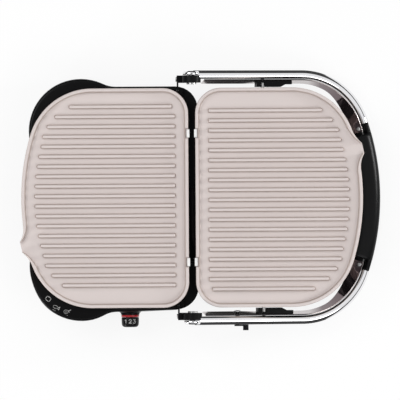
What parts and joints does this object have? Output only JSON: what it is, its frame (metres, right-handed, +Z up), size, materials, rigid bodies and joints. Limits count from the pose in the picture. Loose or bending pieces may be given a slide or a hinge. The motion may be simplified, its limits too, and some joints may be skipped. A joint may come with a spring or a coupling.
{
  "type": "electric indoor grill",
  "caption": "Electric contact grill with a hinged lid, opened flat: ribbed removable plates, heated base and lid, thermostat knob, chromed handle frame.",
  "frame": {"origin": "middle of the opened grill's outline, on the table that its feet stand on", "axes": "+X from the base's front edge across the hinge towards the handle's grip, +Y towards the side without the knob, +Z up"},
  "size_m": [0.4768, 0.3436, 0.0933],
  "materials": {
    "housing_plastic": "satin black moulded plastic",
    "cover_plastic": "matte black moulded plastic",
    "foot_rubber": "matte rubber",
    "plate_coating": "die-cast aluminium with a matte beige-grey non-stick coating",
    "clip_steel": "bright zinc-plated steel",
    "element_sheath": "oxidised steel sheath",
    "reflector_aluminium": "bright sheet",
    "terminal_plastic": "heat-resistant moulded plastic",
    "knob_plastic": "satin black moulded plastic",
    "ring_red": "gloss red",
    "fuse_brass": "plain",
    "wire_insulation": "glass-sleeved wire",
    "gland_rubber": "matte rubber",
    "lead_sleeve": "black heat-resistant sleeve",
    "bracket_black": "black painted steel",
    "spring_steel": "spring wire",
    "bar_chrome": "polished chrome",
    "strip_steel": "polished dark steel",
    "pin_white": "bright steel",
    "grip_plastic": "satin black moulded plastic"
  },
  "bodies": {
    "base": {"base_shell": "housing_plastic", "base_bottom_cover": "cover_plastic", "rubber_feet": "foot_rubber", "base_screws": "clip_steel", "lower_plate": "plate_coating", "lower_plate_clips": "clip_steel", "lower_heating_element": "element_sheath", "lower_element_posts": "clip_steel", "lower_reflector": "reflector_aluminium", "thermostat_body": "terminal_plastic", "thermostat_bracket": "clip_steel", "knob_ring": "ring_red", "terminal_block": "terminal_plastic", "thermal_fuse": "fuse_brass", "base_wiring": "wire_insulation", "cable_gland": "gland_rubber", "lead_bush": "gland_rubber", "lid_lead": "lead_sleeve", "hinge_bracket_left": "bracket_black", "hinge_bracket_right": "bracket_black", "hinge_block_left": "knob_plastic", "hinge_block_right": "knob_plastic", "hinge_pins": "clip_steel", "bracket_screws": "clip_steel", "lower_button_spring": "spring_steel"},
    "knob": {"thermostat_knob": "knob_plastic", "thermostat_shaft": "clip_steel"},
    "lower_button": {"lower_release_button": "knob_plastic"},
    "arms": {"arm_bar_left": "bar_chrome", "arm_bar_right": "bar_chrome", "arm_strip_left": "strip_steel", "arm_strip_right": "strip_steel", "pivot_bracket_left": "knob_plastic", "pivot_bracket_right": "knob_plastic", "lid_pivot_pins": "pin_white", "grip_upper": "grip_plastic", "grip_lower": "grip_plastic", "grip_core": "clip_steel", "grip_screws": "clip_steel"},
    "lock": {"lock_lever": "knob_plastic", "lock_washer": "clip_steel"},
    "lid": {"lid_shell": "housing_plastic", "upper_plate": "plate_coating", "upper_plate_clips": "clip_steel", "upper_heating_element": "element_sheath", "upper_element_posts": "clip_steel", "upper_reflector": "reflector_aluminium", "lid_wiring": "wire_insulation", "upper_button_spring": "spring_steel"},
    "upper_button": {"upper_release_button": "knob_plastic"}
  },
  "joints": [
    {"name": "arm_hinge", "type": "hinge", "parent": "base", "child": "arms", "pos_m": [-0.01113, 0.0038, 0.0805], "axis": [0, -1, 0], "range_deg": [0, 180], "deforming": ["lid_lead"]},
    {"name": "lid_tilt", "type": "hinge", "parent": "arms", "child": "lid", "pos_m": [0.08266, 0.0038, 0.05349], "axis": [0, 1, 0], "range_deg": [-3, 0], "deforming": ["lid_lead"]},
    {"name": "thermostat_turn", "type": "hinge", "parent": "base", "child": "knob", "pos_m": [-0.09413, -0.1537, 0.037], "axis": [0, -1, 0], "range_deg": [0, 270]},
    {"name": "lower_button_press", "type": "slide", "parent": "base", "child": "lower_button", "axis": [1, 0, 0], "range_m": [0, 0.003], "stiffness_N_per_m": 400, "deforming": ["lower_button_spring"]},
    {"name": "upper_button_press", "type": "slide", "parent": "lid", "child": "upper_button", "axis": [-1, 0, 0], "range_m": [0, 0.003], "stiffness_N_per_m": 400, "deforming": ["upper_button_spring"]},
    {"name": "lock_turn", "type": "hinge", "parent": "arms", "child": "lock", "pos_m": [0.04797, -0.1642, 0.06348], "axis": [0, 1, 0], "range_deg": [0, 90]}
  ]
}
